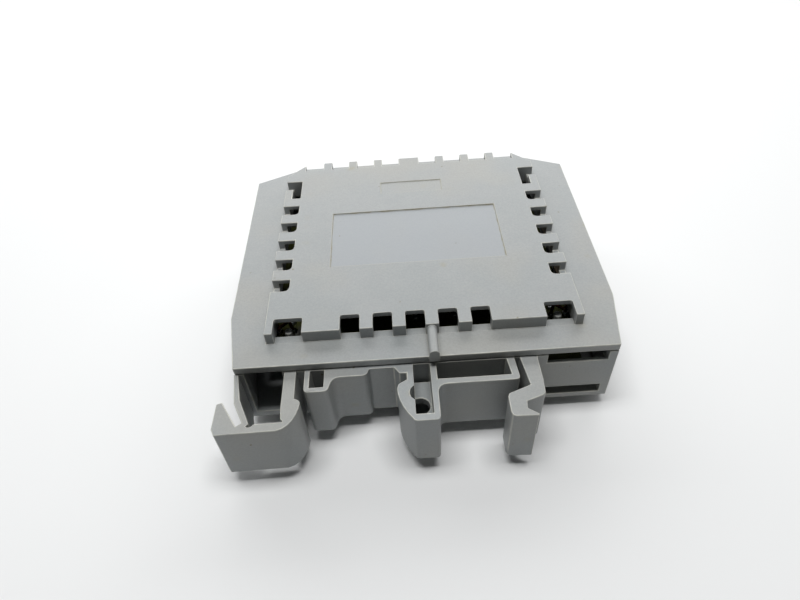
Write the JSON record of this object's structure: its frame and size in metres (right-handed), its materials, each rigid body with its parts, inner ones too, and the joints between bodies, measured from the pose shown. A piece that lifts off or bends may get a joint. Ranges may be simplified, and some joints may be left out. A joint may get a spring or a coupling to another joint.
{
  "type": "din rail terminal module",
  "caption": "Slim vented electronics terminal housing with a sprung foot latch and fixed hooks for a 35 mm top-hat rail, and screw terminals along its far face.",
  "frame": {"origin": "middle of the underside: the module lies on its side, on the raised panel of the base shell", "axes": "+X along the rail, from the sprung latch to the fixed spring hook side; +Y from the rail foot to the terminal face; +Z through the thickness, from the base shell to the side cover"},
  "size_m": [0.0636, 0.0644, 0.0175],
  "materials": {
    "housing_plastic": "fine moulded grain, slightly satin",
    "terminal_plastic": "moulded, satin",
    "zinc_steel": "zinc plated",
    "tinned_brass": "tin plated strip",
    "board_laminate": "glass laminate, olive solder mask",
    "black_epoxy": "moulded epoxy",
    "sleeve_film": "shrink sleeve",
    "disc_lacquer": "dipped lacquer",
    "resistor_lacquer": "beige lacquer",
    "bare_copper": "dull bare copper",
    "lens_acrylic": "tinted clear moulding"
  },
  "bodies": {
    "housing": {"base_shell": "housing_plastic", "side_cover": "housing_plastic", "terminal_body_left": "terminal_plastic", "terminal_body_right": "terminal_plastic", "contact_strip_1": "tinned_brass", "contact_strip_2": "tinned_brass", "contact_strip_3": "tinned_brass", "contact_strip_4": "tinned_brass", "contact_strip_5": "tinned_brass", "contact_strip_6": "tinned_brass", "contact_strip_7": "tinned_brass", "contact_strip_8": "tinned_brass", "circuit_board": "board_laminate", "power_relay": "black_epoxy", "optocoupler_1": "black_epoxy", "optocoupler_2": "black_epoxy", "diode_1": "black_epoxy", "diode_2": "black_epoxy", "storage_capacitor": "sleeve_film", "varistor_1": "disc_lacquer", "varistor_2": "disc_lacquer", "resistor_1": "resistor_lacquer", "resistor_2": "resistor_lacquer", "copper_link_left": "bare_copper", "copper_link_right": "bare_copper", "status_lens": "lens_acrylic"},
    "latch": {"foot_latch": "housing_plastic"},
    "screw_1": {"clamp_screw_1": "zinc_steel"},
    "jaw_1": {"clamp_jaw_1": "zinc_steel"},
    "screw_2": {"clamp_screw_2": "zinc_steel"},
    "jaw_2": {"clamp_jaw_2": "zinc_steel"},
    "screw_3": {"clamp_screw_3": "zinc_steel"},
    "jaw_3": {"clamp_jaw_3": "zinc_steel"},
    "screw_4": {"clamp_screw_4": "zinc_steel"},
    "jaw_4": {"clamp_jaw_4": "zinc_steel"},
    "screw_5": {"clamp_screw_5": "zinc_steel"},
    "jaw_5": {"clamp_jaw_5": "zinc_steel"},
    "screw_6": {"clamp_screw_6": "zinc_steel"},
    "jaw_6": {"clamp_jaw_6": "zinc_steel"},
    "screw_7": {"clamp_screw_7": "zinc_steel"},
    "jaw_7": {"clamp_jaw_7": "zinc_steel"},
    "screw_8": {"clamp_screw_8": "zinc_steel"},
    "jaw_8": {"clamp_jaw_8": "zinc_steel"}
  },
  "joints": [
    {"name": "latch_slide", "type": "slide", "parent": "housing", "child": "latch", "axis": [-1, 0, 0], "range_m": [0, 0.0015], "stiffness_N_per_m": 1500},
    {"name": "jaw_1_slide", "type": "slide", "parent": "housing", "child": "jaw_1", "axis": [0, 1, 0], "range_m": [0, 0.00099]},
    {"name": "screw_1_turn", "type": "hinge", "parent": "housing", "child": "screw_1", "pos_m": [-0.01952, 0.02785, 0.0109], "axis": [0, -1, 0], "range_deg": [0, 794]},
    {"name": "jaw_2_slide", "type": "slide", "parent": "housing", "child": "jaw_2", "axis": [0, 1, 0], "range_m": [0, 0.00099]},
    {"name": "screw_2_turn", "type": "hinge", "parent": "housing", "child": "screw_2", "pos_m": [-0.0143, 0.02785, 0.0109], "axis": [0, -1, 0], "range_deg": [0, 794]},
    {"name": "jaw_3_slide", "type": "slide", "parent": "housing", "child": "jaw_3", "axis": [0, 1, 0], "range_m": [0, 0.00099]},
    {"name": "screw_3_turn", "type": "hinge", "parent": "housing", "child": "screw_3", "pos_m": [-0.00908, 0.02785, 0.0109], "axis": [0, -1, 0], "range_deg": [0, 794]},
    {"name": "jaw_4_slide", "type": "slide", "parent": "housing", "child": "jaw_4", "axis": [0, 1, 0], "range_m": [0, 0.00099]},
    {"name": "screw_4_turn", "type": "hinge", "parent": "housing", "child": "screw_4", "pos_m": [-0.00386, 0.02785, 0.0109], "axis": [0, -1, 0], "range_deg": [0, 794]},
    {"name": "jaw_5_slide", "type": "slide", "parent": "housing", "child": "jaw_5", "axis": [0, 1, 0], "range_m": [0, 0.00099]},
    {"name": "screw_5_turn", "type": "hinge", "parent": "housing", "child": "screw_5", "pos_m": [0.00386, 0.02785, 0.0109], "axis": [0, -1, 0], "range_deg": [0, 794]},
    {"name": "jaw_6_slide", "type": "slide", "parent": "housing", "child": "jaw_6", "axis": [0, 1, 0], "range_m": [0, 0.00099]},
    {"name": "screw_6_turn", "type": "hinge", "parent": "housing", "child": "screw_6", "pos_m": [0.00908, 0.02785, 0.0109], "axis": [0, -1, 0], "range_deg": [0, 794]},
    {"name": "jaw_7_slide", "type": "slide", "parent": "housing", "child": "jaw_7", "axis": [0, 1, 0], "range_m": [0, 0.00099]},
    {"name": "screw_7_turn", "type": "hinge", "parent": "housing", "child": "screw_7", "pos_m": [0.0143, 0.02785, 0.0109], "axis": [0, -1, 0], "range_deg": [0, 794]},
    {"name": "jaw_8_slide", "type": "slide", "parent": "housing", "child": "jaw_8", "axis": [0, 1, 0], "range_m": [0, 0.00099]},
    {"name": "screw_8_turn", "type": "hinge", "parent": "housing", "child": "screw_8", "pos_m": [0.01952, 0.02785, 0.0109], "axis": [0, -1, 0], "range_deg": [0, 794]}
  ],
  "couplings": [
    {"joint": "screw_1_turn", "follows": "jaw_1_slide", "rad_per_m": 13963},
    {"joint": "screw_2_turn", "follows": "jaw_2_slide", "rad_per_m": 13963},
    {"joint": "screw_3_turn", "follows": "jaw_3_slide", "rad_per_m": 13963},
    {"joint": "screw_4_turn", "follows": "jaw_4_slide", "rad_per_m": 13963},
    {"joint": "screw_5_turn", "follows": "jaw_5_slide", "rad_per_m": 13963},
    {"joint": "screw_6_turn", "follows": "jaw_6_slide", "rad_per_m": 13963},
    {"joint": "screw_7_turn", "follows": "jaw_7_slide", "rad_per_m": 13963},
    {"joint": "screw_8_turn", "follows": "jaw_8_slide", "rad_per_m": 13963}
  ]
}
